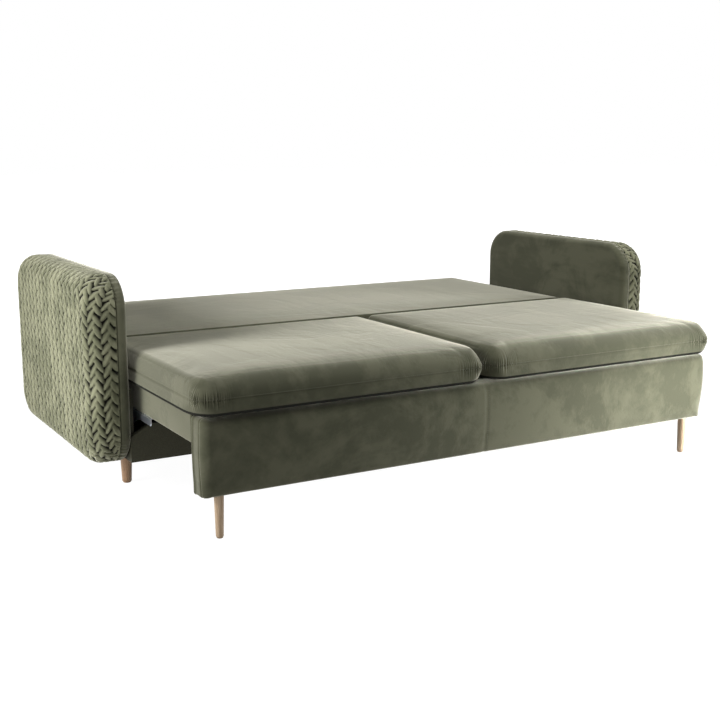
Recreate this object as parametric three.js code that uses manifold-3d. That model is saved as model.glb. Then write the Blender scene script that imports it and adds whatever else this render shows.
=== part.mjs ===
// Pull-out futon sofa bed, shown as a bed: two seat cushions pulled forward, backrest folded flat.
// Millimetres, +Z up. X runs along the sofa, Y from the pulled-out seat towards the rear.
// The seat rolls back on two guide rails while a pair of links stands the backrest up behind it.

import * as THREE from 'three';
import { RoundedBoxGeometry } from 'three/addons/geometries/RoundedBoxGeometry.js';
import { mergeVertices } from 'three/addons/utils/BufferGeometryUtils.js';
import Module from 'manifold-3d';

const wasm = await Module();
wasm.setup();

// ---- Driving dimensions ----
const GAP = 0.3;                  // between two pieces that touch

const INNER_WIDTH = 2000;         // between the armrests
const ARM_DEPTH = 879;            // armrest, front to rear
const ARM_BOTTOM = 110;
const ARM_TOP = 708;
const ARM_CORNER = 110;           // side-view corner radius
const ARM_INNER_PAD = 35;         // plain pad on the seat side
const ARM_OUTER_PAD = 93;         // quilted pad on the outer side
const ARM_OUTER_ROUND = 60;       // rounding of the quilted pad's outer edge
const ARM_CORE_INSET = 26;        // padding around the edge of the core
const ARM_CORE_START = 12;        // padding between the core and the seat
const ARM_CORE_WIDTH = 78;

const SIDE_BOARD = 16.7;          // board thickness
const BASE_BOTTOM = 120;
const FRONT_BOARD_Y = 14;
const BOARD = 18;                 // front board, rear board and bottom panel
const FRONT_BOARD_TOP = 238;
const FRONT_BOARD_CUT_Z = 201;    // low end of the corner cut
const FRONT_BOARD_CUT_X = 67;     // width of the corner cut
const BOX_REAR_Y = 580;
const REAR_BOARD_TOP = 232;
const REAR_BOARD_INSET = 45;      // lets the seat brackets pass its ends
const STRETCHER_DEPTH = 46;
const STRETCHER_HEIGHT = 22;
const STRETCHER_REAR_INSET = 13;  // from the armrests' rear

const SEAT_TOP = 475;
const CUSHION_THICKNESS = 109;
const CUSHION_ROUND = 22;
const CUSHION_FRONT = -498;
const CUSHION_REAR = 301;
const CUSHION_SIDE_INSET = 16;    // from the armrests' inner faces
const CUSHION_SPLIT = 4;          // between the two cushions
const DECK_THICKNESS = 12;
const DECK_REAR_INSET = 18;       // from the cushions' rear
const SEAT_RAIL_BOTTOM = 276;
const SEAT_SIDE_RAIL = 40;
const SEAT_CROSS_RAIL = 25;
const FASCIA_FRONT = -483;
const FASCIA_THICKNESS = 78;
const FASCIA_BOTTOM = 129;
const FASCIA_ROUND = 18;
const FASCIA_CORE_INSET = 18;     // padding around the core
const FASCIA_CORE_BOTTOM = 12;     // padding under the core

const BACK_LENGTH = 797;          // backrest, from the seam to its far edge
const BACK_THICKNESS = 130;
const BACK_SEAM = 6;              // between the seat cushions and the backrest
const BACK_ROUND = 26;
const BACK_PAD = 75;              // foam above the backrest frame
const BACK_RAIL = 43;
const BACK_RAIL_HEIGHT = 47.7;
const BACK_WALL = 8;              // cover and foam around the backrest frame

const PLATE = 3;                  // bracket steel
const LINK_PLAY = 1;              // from a bracket to its link
const LINK_THICKNESS = 4;
const LINK_RADIUS = 15;
const PIVOT_RADIUS = 5;
const PIVOT_HEAD_RADIUS = 9;
const PIVOT_HEAD = 3;
const LINK_PIVOT = { back: 49.4, drop: 159.7 };    // seat pivot from the cushions' top rear edge
const FOLD_PIVOT = { ahead: 66.1, drop: 68.7 };    // backrest pivot from its own top front edge
const SEAT_TRAVEL = 410;

const RAIL_WIDTH = 14.7;
const RAIL_STEEL = 2;
const RAIL_PLAY = 1.7;            // from a seat bracket to its rail
const ROLLER_RADIUS = 14;
const ROLLER_WIDTH = 10;
const ROLLER_Z = 190;
const ROLLER_PLAY = 1;            // above a roller, inside the rail
const FRONT_ROLLER_Y = 150;
const REAR_ROLLER_Y = 270;
const AXLE_RADIUS = 4;
const AXLE_CLIP_RADIUS = 6.5;
const AXLE_CLIP = 1.5;

const BRACKET_FRONT = -80;
const BRACKET_LOW = 254;          // lower edge ahead of the bend
const BRACKET_BEND_Y = 17;        // where the lower edge turns down
const BRACKET_KNEE = { y: 99, z: 208 };
const BRACKET_CHAMFER = { back: 4, up: 8 };
const BRACKET_SWEEP = { back: 18, down: 12, ahead: 13 };    // bend handles on each side of the knee
const BRACKET_FLANGE = 33;
const FLANGE_START = 10;          // behind the bracket's front end
const BRACKET_EDGE = 18;          // steel around a roller axle or a pivot
const BACK_BRACKET_LENGTH = 110;
const BACK_BRACKET_MARGIN = 6;    // from the rail's edges

const SEAT_LEG = { inset: 63, y: -442, top: 14, foot: 13 };    // inset from the seat's ends
const BASE_LEG = { inset: 45, y: 205, top: 21, foot: 16 };     // inset from the armrests
const STUD_RADIUS = 4;
const STUD_LENGTH = 14;
const BOLT_RADIUS = 4;
const BOLT_HEAD_RADIUS = 8;
const BOLT_HEAD = 4;
const BOLT_GRIP = 28;             // depth of a bolt in the armrest core
const BOLT_Z = 300;
const BOLT_INSET = 100;           // from the armrest's front and rear
const PEG_RADIUS = 7;
const PEG_FLANGE_RADIUS = 12;
const PEG_Y = 770;
const PEG_STAND = 5;              // side board above the underside of the flat backrest
const PEG_END_PLAY = 5;           // from a peg's end to the armrest

// ---- Layers counted inwards from an armrest's inner face, as distances from the middle ----
const ARM_FACE = INNER_WIDTH / 2;
const BOARD_OUT = ARM_FACE - GAP;
const BOARD_IN = BOARD_OUT - SIDE_BOARD;
const RAIL_OUT = BOARD_IN - GAP;
const RAIL_IN = RAIL_OUT - RAIL_WIDTH;
const PLATE_OUT = RAIL_IN - RAIL_PLAY;
const PLATE_IN = PLATE_OUT - PLATE;
const SOFT_HALF = PLATE_IN - GAP;
const LINK_IN = PLATE_OUT + LINK_PLAY;
const LINK_OUT = LINK_IN + LINK_THICKNESS;
const ROLLER_IN = PLATE_OUT + 2 * LINK_PLAY;
const ROLLER_OUT = ROLLER_IN + ROLLER_WIDTH;

// ---- Heights and depths that follow ----
const CUSHION_BOTTOM = SEAT_TOP - CUSHION_THICKNESS;
const DECK_TOP = CUSHION_BOTTOM - GAP;
const DECK_BOTTOM = DECK_TOP - DECK_THICKNESS;
const FASCIA_TOP = DECK_BOTTOM;
const FASCIA_REAR = FASCIA_FRONT + FASCIA_THICKNESS;
const SEAT_FRAME_FRONT = FASCIA_REAR + GAP;
const SEAT_FRAME_REAR = CUSHION_REAR - DECK_REAR_INSET;
const PANEL_TOP = BASE_BOTTOM + BOARD;
const SIDE_BOARD_FRONT = FRONT_BOARD_Y + BOARD + GAP;
const STRETCHER_REAR = ARM_DEPTH - STRETCHER_REAR_INSET;
const BACK_FRONT = CUSHION_REAR + BACK_SEAM;
const BACK_REAR = BACK_FRONT + BACK_LENGTH;
const BACK_BOTTOM = SEAT_TOP - BACK_THICKNESS;
const SIDE_BOARD_TOP = BACK_BOTTOM + PEG_STAND;
const BACK_PAD_BOTTOM = SEAT_TOP - BACK_PAD;
const BACK_RAIL_TOP = BACK_PAD_BOTTOM - GAP;
const BACK_RAIL_BOTTOM = BACK_RAIL_TOP - BACK_RAIL_HEIGHT;
const LINK_AXIS = { y: CUSHION_REAR - LINK_PIVOT.back, z: SEAT_TOP - LINK_PIVOT.drop };
const FOLD_AXIS = { y: BACK_FRONT + FOLD_PIVOT.ahead, z: SEAT_TOP - FOLD_PIVOT.drop };
const SIDES = [[-1, 'left'], [1, 'right']];
const FRONT_REAR = [[FRONT_ROLLER_Y, 'front'], [REAR_ROLLER_Y, 'rear']];

// ---- Finishes ----
const velvet = () => new THREE.MeshStandardMaterial({ color: 0x85866f, roughness: 0.9, metalness: 0 });
const timber = () => new THREE.MeshStandardMaterial({ color: 0xc8ab80, roughness: 0.65, metalness: 0 });
const darkBoard = () => new THREE.MeshStandardMaterial({ color: 0x24231f, roughness: 0.8, metalness: 0 });
const paleWood = () => new THREE.MeshStandardMaterial({ color: 0xd9b98a, roughness: 0.5, metalness: 0 });
const brownWood = () => new THREE.MeshStandardMaterial({ color: 0x5b4634, roughness: 0.5, metalness: 0 });
const zinc = () => new THREE.MeshStandardMaterial({ color: 0xb9c0c6, roughness: 0.35, metalness: 1 });
const nylon = () => new THREE.MeshStandardMaterial({ color: 0x2b2b2d, roughness: 0.5, metalness: 0 });
const lining = () => new THREE.MeshStandardMaterial({ color: 0x303029, roughness: 0.95, metalness: 0 });

// ---- Shaping helpers ----

// The closed solid of a mesh, in the frame of the whole object.
function solid(mesh) {
  mesh.updateMatrix();
  const plain = new THREE.BufferGeometry();
  const source = mesh.geometry.clone().applyMatrix4(mesh.matrix);
  plain.setAttribute('position', source.getAttribute('position'));
  plain.setIndex(source.getIndex());
  const merged = mergeVertices(plain, 1e-3);
  const vertProperties = new Float32Array(merged.getAttribute('position').array);
  const triVerts = new Uint32Array(merged.getIndex().array);
  return new wasm.Manifold(new wasm.Mesh({ numProp: 3, vertProperties, triVerts }));
}

// Puts a closed solid back into a mesh that keeps its name and finish.
function remesh(mesh, body) {
  const result = body.getMesh();
  const geometry = new THREE.BufferGeometry();
  geometry.setAttribute('position', new THREE.BufferAttribute(new Float32Array(result.vertProperties), 3));
  geometry.setIndex(new THREE.BufferAttribute(new Uint32Array(result.triVerts), 1));
  const made = new THREE.Mesh(geometry, mesh.material);
  made.name = mesh.name;
  return made;
}

function cut(mesh, ...tools) {
  return remesh(mesh, tools.reduce((body, tool) => body.subtract(solid(tool)), solid(mesh)));
}

function join(mesh, ...others) {
  return remesh(mesh, others.reduce((body, other) => body.add(solid(other)), solid(mesh)));
}

function named(name, geometry, material) {
  const mesh = new THREE.Mesh(geometry, material);
  mesh.name = name;
  return mesh;
}

// A box between two limits on each axis.
function block(name, material, [x0, x1], [y0, y1], [z0, z1]) {
  const mesh = named(name, new THREE.BoxGeometry(x1 - x0, y1 - y0, z1 - z0), material);
  mesh.position.set((x0 + x1) / 2, (y0 + y1) / 2, (z0 + z1) / 2);
  return mesh;
}

// The same, with all its edges rounded.
function softBlock(name, material, [x0, x1], [y0, y1], [z0, z1], radius) {
  const geometry = new RoundedBoxGeometry(x1 - x0, y1 - y0, z1 - z0, 2, radius);
  const mesh = named(name, geometry, material);
  mesh.position.set((x0 + x1) / 2, (y0 + y1) / 2, (z0 + z1) / 2);
  return mesh;
}

// Two distances from the middle, put in order on one side of the sofa.
function span(side, inner, outer) {
  return side < 0 ? [-outer, -inner] : [inner, outer];
}

// A side-view outline in Y and Z, extruded across X between two limits.
function sidePlate(name, material, outline, [x0, x1], options = {}) {
  const settings = { depth: x1 - x0, bevelEnabled: false, curveSegments: 6, ...options };
  const geometry = new THREE.ExtrudeGeometry(outline, settings);
  const axes = new THREE.Matrix4().set(0, 0, 1, x0, 1, 0, 0, 0, 0, 1, 0, 0, 0, 0, 0, 1);
  return named(name, geometry.applyMatrix4(axes), material);
}

// A turned piece: radii against distance along its axis, which points away from the middle.
function turnedAcross(name, material, side, y, z, profile) {
  const points = profile.map(([radius, x]) => new THREE.Vector2(radius, x));
  const mesh = named(name, new THREE.LatheGeometry(points, 16), material);
  mesh.rotation.z = side < 0 ? Math.PI / 2 : -Math.PI / 2;
  mesh.position.set(0, y, z);
  return mesh;
}

function turnedUp(name, material, x, y, profile) {
  const points = profile.map(([radius, z]) => new THREE.Vector2(radius, z));
  const mesh = named(name, new THREE.LatheGeometry(points, 16), material);
  mesh.rotation.x = Math.PI / 2;
  mesh.position.set(x, y, 0);
  return mesh;
}

function hole(y, z, radius) {
  const path = new THREE.Path();
  path.absarc(y, z, radius, 0, 2 * Math.PI, false);
  return path;
}

// ---- Armrests ----

function armOutline(inset) {
  const low = ARM_BOTTOM + inset;
  const high = ARM_TOP - inset;
  const front = inset;
  const rear = ARM_DEPTH - inset;
  const r = ARM_CORNER - inset;
  const outline = new THREE.Shape();
  outline.moveTo(front + r, low);
  outline.lineTo(rear - r, low);
  outline.absarc(rear - r, low + r, r, -Math.PI / 2, 0, false);
  outline.lineTo(rear, high - r);
  outline.absarc(rear - r, high - r, r, 0, Math.PI / 2, false);
  outline.lineTo(front + r, high);
  outline.absarc(front + r, high - r, r, Math.PI / 2, Math.PI, false);
  outline.lineTo(front, low + r);
  outline.absarc(front + r, low + r, r, Math.PI, 1.5 * Math.PI, false);
  return outline;
}

function armBolt(name, side, y, extra) {
  const start = BOARD_IN - GAP;
  const end = ARM_FACE + ARM_CORE_START + BOLT_GRIP;
  const shank = BOLT_RADIUS + extra;
  const head = BOLT_HEAD_RADIUS + extra;
  return turnedAcross(name, zinc(), side, y, BOLT_Z, [
    [0, start - BOLT_HEAD], [head, start - BOLT_HEAD], [head, start], [shank, start],
    [shank, end + extra], [0, end + extra],
  ]);
}

function armrest(side, word) {
  const coreStart = ARM_FACE + ARM_CORE_START;
  const coreEnd = coreStart + ARM_CORE_WIDTH;
  const innerEnd = ARM_FACE + ARM_INNER_PAD;
  const outerEnd = innerEnd + ARM_OUTER_PAD;
  const bolts = [[BOLT_INSET, 'front'], [ARM_DEPTH - BOLT_INSET, 'rear']];
  const holes = bolts.map(([y]) => armBolt('', side, y, GAP));
  const pocketSpan = span(side, coreStart - GAP, coreEnd + GAP);
  const pocket = sidePlate('', null, armOutline(ARM_CORE_INSET - GAP), pocketSpan);
  const coreSpan = span(side, coreStart, coreEnd);
  const core = sidePlate(`arm_core_${word}`, timber(), armOutline(ARM_CORE_INSET), coreSpan);
  const innerSpan = span(side, ARM_FACE + GAP, innerEnd);
  const inner = sidePlate(`arm_inner_pad_${word}`, velvet(), armOutline(0), innerSpan);
  const rounded = {
    depth: 2 * (ARM_OUTER_PAD - ARM_OUTER_ROUND),
    bevelEnabled: true,
    bevelThickness: ARM_OUTER_ROUND,
    bevelSize: ARM_OUTER_ROUND,
    bevelOffset: -ARM_OUTER_ROUND,
    bevelSegments: 3,
  };
  const start = side * innerEnd - (ARM_OUTER_PAD - ARM_OUTER_ROUND);
  const outer = sidePlate(`arm_outer_pad_${word}`, velvet(), armOutline(0), [start, start], rounded);
  const spare = block('', null, span(side, innerEnd - ARM_OUTER_PAD - 1, innerEnd + GAP),
    [-1, ARM_DEPTH + 1], [ARM_BOTTOM - 1, ARM_TOP + 1]);
  return [
    cut(core, ...holes),
    cut(inner, pocket, ...holes),
    cut(outer, spare, pocket),
    ...bolts.map(([y, place]) => armBolt(`arm_bolt_${place}_${word}`, side, y, 0)),
  ];
}

// ---- Base box ----

function sideBoard(side, word) {
  const board = block(`box_side_board_${word}`, darkBoard(), span(side, BOARD_IN, BOARD_OUT),
    [SIDE_BOARD_FRONT, STRETCHER_REAR], [BASE_BOTTOM, SIDE_BOARD_TOP]);
  return cut(board, ...[BOLT_INSET, ARM_DEPTH - BOLT_INSET].map((y) => armBolt('', side, y, GAP)));
}

function frontBoard() {
  const outline = new THREE.Shape();
  outline.moveTo(-BOARD_OUT, BASE_BOTTOM);
  outline.lineTo(BOARD_OUT, BASE_BOTTOM);
  outline.lineTo(BOARD_OUT, FRONT_BOARD_CUT_Z);
  outline.lineTo(BOARD_OUT - FRONT_BOARD_CUT_X, FRONT_BOARD_TOP);
  outline.lineTo(FRONT_BOARD_CUT_X - BOARD_OUT, FRONT_BOARD_TOP);
  outline.lineTo(-BOARD_OUT, FRONT_BOARD_CUT_Z);
  const geometry = new THREE.ExtrudeGeometry(outline, { depth: BOARD, bevelEnabled: false });
  const mesh = named('box_front_board', geometry, darkBoard());
  mesh.rotation.x = Math.PI / 2;
  mesh.position.set(0, FRONT_BOARD_Y + BOARD, 0);
  return mesh;
}

// A channel open towards the middle, closed at both ends to stop the rollers.
function guideRail(side, word) {
  const low = ROLLER_Z - ROLLER_RADIUS - GAP;
  const high = ROLLER_Z + ROLLER_RADIUS + ROLLER_PLAY;
  const front = FRONT_ROLLER_Y - ROLLER_RADIUS - ROLLER_PLAY;
  const rear = REAR_ROLLER_Y + SEAT_TRAVEL + ROLLER_RADIUS + ROLLER_PLAY;
  const bar = block(`guide_rail_${word}`, zinc(), span(side, RAIL_IN, RAIL_OUT),
    [front - RAIL_STEEL, rear + RAIL_STEEL], [low - RAIL_STEEL, high + RAIL_STEEL]);
  const track = block('', null, span(side, RAIL_IN - 1, RAIL_OUT - RAIL_STEEL), [front, rear], [low, high]);
  return cut(bar, track);
}

function leg(name, material, { x, y, top, foot }, topZ, extra) {
  return turnedUp(name, material, x, y, [
    [0, -extra], [foot + extra, -extra], [top + extra, topZ + extra], [STUD_RADIUS + extra, topZ + extra],
    [STUD_RADIUS + extra, topZ + STUD_LENGTH + extra], [0, topZ + STUD_LENGTH + extra],
  ]);
}

function baseLegs(extra) {
  const rearY = STRETCHER_REAR - STRETCHER_DEPTH / 2;
  const legs = [];
  for (const [side, word] of SIDES) {
    const places = [[BASE_LEG.y, 'front'], [rearY, 'rear']];
    for (const [y, place] of places) {
      const spot = { ...BASE_LEG, x: side * (ARM_FACE - BASE_LEG.inset), y };
      legs.push(leg(`base_leg_${place}_${word}`, brownWood(), spot, BASE_BOTTOM - GAP, extra));
    }
  }
  return legs;
}

function base() {
  const group = new THREE.Group();
  const holes = baseLegs(GAP);
  const panel = block('box_bottom_panel', darkBoard(), [-RAIL_OUT, RAIL_OUT],
    [SIDE_BOARD_FRONT, BOX_REAR_Y], [BASE_BOTTOM, PANEL_TOP]);
  const stretcher = block('rear_stretcher', timber(), [-RAIL_OUT, RAIL_OUT],
    [STRETCHER_REAR - STRETCHER_DEPTH, STRETCHER_REAR], [BASE_BOTTOM, BASE_BOTTOM + STRETCHER_HEIGHT]);
  const rearHalf = ARM_FACE - REAR_BOARD_INSET;
  group.add(frontBoard(), cut(panel, ...holes), cut(stretcher, ...holes));
  group.add(block('box_rear_board', darkBoard(), [-rearHalf, rearHalf],
    [BOX_REAR_Y - BOARD, BOX_REAR_Y], [PANEL_TOP + GAP, REAR_BOARD_TOP]));
  group.add(...baseLegs(0));
  for (const [side, word] of SIDES) {
    group.add(sideBoard(side, word), guideRail(side, word), ...armrest(side, word));
  }
  return group;
}

// ---- Seat ----

function seatLegs(extra) {
  return SIDES.map(([side, word]) => {
    const spot = { ...SEAT_LEG, x: side * (SOFT_HALF - SEAT_LEG.inset) };
    return leg(`seat_leg_${word}`, paleWood(), spot, FASCIA_BOTTOM - GAP, extra);
  });
}

function fascia() {
  const coreHalf = SOFT_HALF - FASCIA_CORE_INSET;
  const coreY = [FASCIA_FRONT + FASCIA_CORE_INSET, FASCIA_REAR];
  const coreZ = [FASCIA_BOTTOM + FASCIA_CORE_BOTTOM, FASCIA_TOP - FASCIA_CORE_INSET];
  const core = block('fascia_core', timber(), [-coreHalf, coreHalf], coreY, coreZ);
  const pocket = block('', null, [-coreHalf - GAP, coreHalf + GAP],
    [coreY[0] - GAP, coreY[1] + 1], [coreZ[0] - GAP, coreZ[1] + GAP]);
  const pad = softBlock('fascia_pad', velvet(), [-SOFT_HALF, SOFT_HALF],
    [FASCIA_FRONT, FASCIA_REAR], [FASCIA_BOTTOM, FASCIA_TOP], FASCIA_ROUND);
  const holes = seatLegs(GAP);
  return [cut(core, ...holes), cut(pad, pocket, ...holes)];
}

function seatFrame() {
  const z = [SEAT_RAIL_BOTTOM, DECK_BOTTOM - GAP];
  const railInner = SOFT_HALF - SEAT_SIDE_RAIL;
  const crossHalf = railInner - GAP;
  const depth = [SEAT_FRAME_FRONT, SEAT_FRAME_REAR];
  const front = [SEAT_FRAME_FRONT, SEAT_FRAME_FRONT + SEAT_CROSS_RAIL];
  const rear = [SEAT_FRAME_REAR - SEAT_CROSS_RAIL, SEAT_FRAME_REAR];
  return [
    block('seat_front_rail', timber(), [-crossHalf, crossHalf], front, z),
    block('seat_rear_rail', timber(), [-crossHalf, crossHalf], rear, z),
    block('seat_centre_rail', timber(), [-SEAT_SIDE_RAIL / 2, SEAT_SIDE_RAIL / 2],
      [front[1] + GAP, rear[0] - GAP], z),
    ...SIDES.map(([side, word]) => block(`seat_side_rail_${word}`, velvet(),
      span(side, railInner, SOFT_HALF), depth, [SEAT_RAIL_BOTTOM, DECK_TOP])),
    block('seat_deck', timber(), [-crossHalf, crossHalf], depth, [DECK_BOTTOM, DECK_TOP]),
  ];
}

// Web beside the seat rail, dropping to the rollers, with a flange under the rail and an ear for the link.
function seatBracket(side, word) {
  const top = SEAT_RAIL_BOTTOM - GAP;
  const foot = ROLLER_Z - BRACKET_EDGE;
  const rear = REAR_ROLLER_Y + BRACKET_EDGE;
  const web = new THREE.Shape();
  web.moveTo(BRACKET_FRONT, top);
  web.lineTo(BRACKET_FRONT, BRACKET_LOW + BRACKET_CHAMFER.up);
  web.lineTo(BRACKET_FRONT + BRACKET_CHAMFER.back, BRACKET_LOW);
  web.lineTo(BRACKET_BEND_Y, BRACKET_LOW);
  web.quadraticCurveTo(BRACKET_KNEE.y - BRACKET_SWEEP.back, BRACKET_LOW - BRACKET_SWEEP.down,
    BRACKET_KNEE.y, BRACKET_KNEE.z);
  web.quadraticCurveTo(BRACKET_KNEE.y + BRACKET_SWEEP.ahead, foot, FRONT_ROLLER_Y, foot);
  web.lineTo(REAR_ROLLER_Y, foot);
  web.absarc(REAR_ROLLER_Y, ROLLER_Z, BRACKET_EDGE, -Math.PI / 2, 0, false);
  web.lineTo(rear, top);
  web.lineTo(LINK_AXIS.y + BRACKET_EDGE, LINK_AXIS.z);
  web.absarc(LINK_AXIS.y, LINK_AXIS.z, BRACKET_EDGE, 0, Math.PI, false);
  web.lineTo(LINK_AXIS.y - BRACKET_EDGE, top);
  web.holes.push(hole(FRONT_ROLLER_Y, ROLLER_Z, AXLE_RADIUS + GAP));
  web.holes.push(hole(REAR_ROLLER_Y, ROLLER_Z, AXLE_RADIUS + GAP));
  web.holes.push(hole(LINK_AXIS.y, LINK_AXIS.z, PIVOT_RADIUS + GAP));
  const plate = sidePlate(`seat_bracket_${word}`, zinc(), web, span(side, PLATE_IN, PLATE_OUT));
  const flange = block('', null, span(side, PLATE_IN - BRACKET_FLANGE, PLATE_IN + 1),
    [BRACKET_FRONT + FLANGE_START, SEAT_FRAME_REAR], [top - PLATE, top]);
  return join(plate, flange);
}

function axle(side, word, y, place) {
  const end = ROLLER_OUT + GAP;
  return turnedAcross(`roller_axle_${place}_${word}`, zinc(), side, y, ROLLER_Z, [
    [0, PLATE_IN], [AXLE_RADIUS, PLATE_IN], [AXLE_RADIUS, end], [AXLE_CLIP_RADIUS, end],
    [AXLE_CLIP_RADIUS, end + AXLE_CLIP], [0, end + AXLE_CLIP],
  ]);
}

function pivotPin(name, side, y, z) {
  const head = LINK_OUT + GAP;
  return turnedAcross(name, zinc(), side, y, z, [
    [0, PLATE_IN], [PIVOT_RADIUS, PLATE_IN], [PIVOT_RADIUS, head], [PIVOT_HEAD_RADIUS, head],
    [PIVOT_HEAD_RADIUS, head + PIVOT_HEAD], [0, head + PIVOT_HEAD],
  ]);
}

function seatCushion(side, word) {
  const ends = span(side, CUSHION_SPLIT / 2, ARM_FACE - CUSHION_SIDE_INSET);
  return softBlock(`seat_cushion_${word}`, velvet(), ends,
    [CUSHION_FRONT, CUSHION_REAR], [CUSHION_BOTTOM, SEAT_TOP], CUSHION_ROUND);
}

function seat() {
  const group = new THREE.Group();
  group.add(...fascia(), ...seatFrame(), ...seatLegs(0));
  for (const [side, word] of SIDES) {
    group.add(seatCushion(side, word), seatBracket(side, word));
    group.add(pivotPin(`link_pin_${word}`, side, LINK_AXIS.y, LINK_AXIS.z));
    group.add(...FRONT_REAR.map(([y, place]) => axle(side, word, y, place)));
  }
  return group;
}

// ---- Rollers and links ----

function roller(side, word, y, place) {
  const bore = AXLE_RADIUS + GAP;
  return turnedAcross(`roller_${place}_${word}`, nylon(), side, y, ROLLER_Z, [
    [bore, ROLLER_IN], [ROLLER_RADIUS, ROLLER_IN], [ROLLER_RADIUS, ROLLER_OUT], [bore, ROLLER_OUT],
    [bore, ROLLER_IN],
  ]);
}

function link(side, word) {
  const across = Math.atan2(FOLD_AXIS.z - LINK_AXIS.z, FOLD_AXIS.y - LINK_AXIS.y);
  const outline = new THREE.Shape();
  outline.absarc(FOLD_AXIS.y, FOLD_AXIS.z, LINK_RADIUS, across - Math.PI / 2, across + Math.PI / 2, false);
  outline.absarc(LINK_AXIS.y, LINK_AXIS.z, LINK_RADIUS, across + Math.PI / 2, across + 1.5 * Math.PI, false);
  outline.holes.push(hole(FOLD_AXIS.y, FOLD_AXIS.z, PIVOT_RADIUS + GAP));
  outline.holes.push(hole(LINK_AXIS.y, LINK_AXIS.z, PIVOT_RADIUS + GAP));
  return sidePlate(`back_link_${word}`, zinc(), outline, span(side, LINK_IN, LINK_OUT));
}

// ---- Backrest ----

const BACK_POCKET = {
  half: SOFT_HALF - BACK_WALL,
  front: BACK_FRONT + BACK_WALL,
  rear: BACK_REAR - BACK_WALL,
};

// Foam and cover pulled over the frame, with rounded upper edges and an open underside.
function backPad() {
  const below = BACK_BOTTOM - BACK_ROUND - GAP;
  const whole = softBlock('back_pad', velvet(), [-SOFT_HALF, SOFT_HALF],
    [BACK_FRONT, BACK_REAR], [below, SEAT_TOP], BACK_ROUND);
  const spare = block('', null, [-ARM_FACE, ARM_FACE],
    [BACK_FRONT - 1, BACK_REAR + 1], [below - 1, BACK_BOTTOM]);
  const pocket = block('', null, [-BACK_POCKET.half, BACK_POCKET.half],
    [BACK_POCKET.front, BACK_POCKET.rear], [BACK_BOTTOM - 1, BACK_PAD_BOTTOM]);
  return cut(whole, spare, pocket);
}

function backFrame() {
  const z = [BACK_RAIL_BOTTOM, BACK_RAIL_TOP];
  const half = BACK_POCKET.half - GAP;
  const front = BACK_POCKET.front + GAP;
  const rear = BACK_POCKET.rear - GAP;
  const railInner = half - BACK_RAIL;
  const crossHalf = railInner - GAP;
  return [
    ...SIDES.map(([side, word]) => block(`back_side_rail_${word}`, timber(),
      span(side, railInner, half), [front, rear], z)),
    block('back_lower_rail', timber(), [-crossHalf, crossHalf], [front, front + BACK_RAIL], z),
    block('back_upper_rail', timber(), [-crossHalf, crossHalf], [rear - BACK_RAIL, rear], z),
    block('back_cover', lining(), [-half, half], [front, rear], [BACK_BOTTOM, BACK_RAIL_BOTTOM - GAP]),
  ];
}

function backBracket(side, word) {
  const rear = FOLD_AXIS.y + BACK_BRACKET_LENGTH;
  const outline = new THREE.Shape();
  outline.moveTo(rear, BACK_RAIL_TOP - BACK_BRACKET_MARGIN);
  outline.absarc(FOLD_AXIS.y, FOLD_AXIS.z, BRACKET_EDGE, Math.PI / 2, 1.5 * Math.PI, false);
  outline.lineTo(rear, BACK_RAIL_BOTTOM + BACK_BRACKET_MARGIN);
  outline.holes.push(hole(FOLD_AXIS.y, FOLD_AXIS.z, PIVOT_RADIUS + GAP));
  return sidePlate(`back_bracket_${word}`, zinc(), outline, span(side, PLATE_IN, PLATE_OUT));
}

// Steel peg that rests the flat backrest on the side board.
function restPeg(side, word) {
  const flangeEnd = PLATE_IN + PLATE;
  const end = BOARD_OUT - PEG_END_PLAY;
  return turnedAcross(`rest_peg_${word}`, zinc(), side, PEG_Y, SIDE_BOARD_TOP + GAP + PEG_RADIUS, [
    [0, PLATE_IN], [PEG_FLANGE_RADIUS, PLATE_IN], [PEG_FLANGE_RADIUS, flangeEnd], [PEG_RADIUS, flangeEnd],
    [PEG_RADIUS, end], [0, end],
  ]);
}

function backrest() {
  const group = new THREE.Group();
  group.add(backPad(), ...backFrame());
  for (const [side, word] of SIDES) {
    group.add(backBracket(side, word), restPeg(side, word));
    group.add(pivotPin(`fold_pin_${word}`, side, FOLD_AXIS.y, FOLD_AXIS.z));
  }
  return group;
}

// ---- Whole object: the origin is on the floor, at the middle of its outline ----
const sofaBed = new THREE.Group();
sofaBed.position.y = -(CUSHION_FRONT + BACK_REAR) / 2;
sofaBed.add(base(), seat(), backrest());
for (const [side, word] of SIDES) {
  sofaBed.add(link(side, word));
  sofaBed.add(...FRONT_REAR.map(([y, place]) => roller(side, word, y, place)));
}

export default sofaBed;
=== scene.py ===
import math

import bmesh
import bpy
import numpy as np
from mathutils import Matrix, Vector
from mathutils.bvhtree import BVHTree


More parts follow.
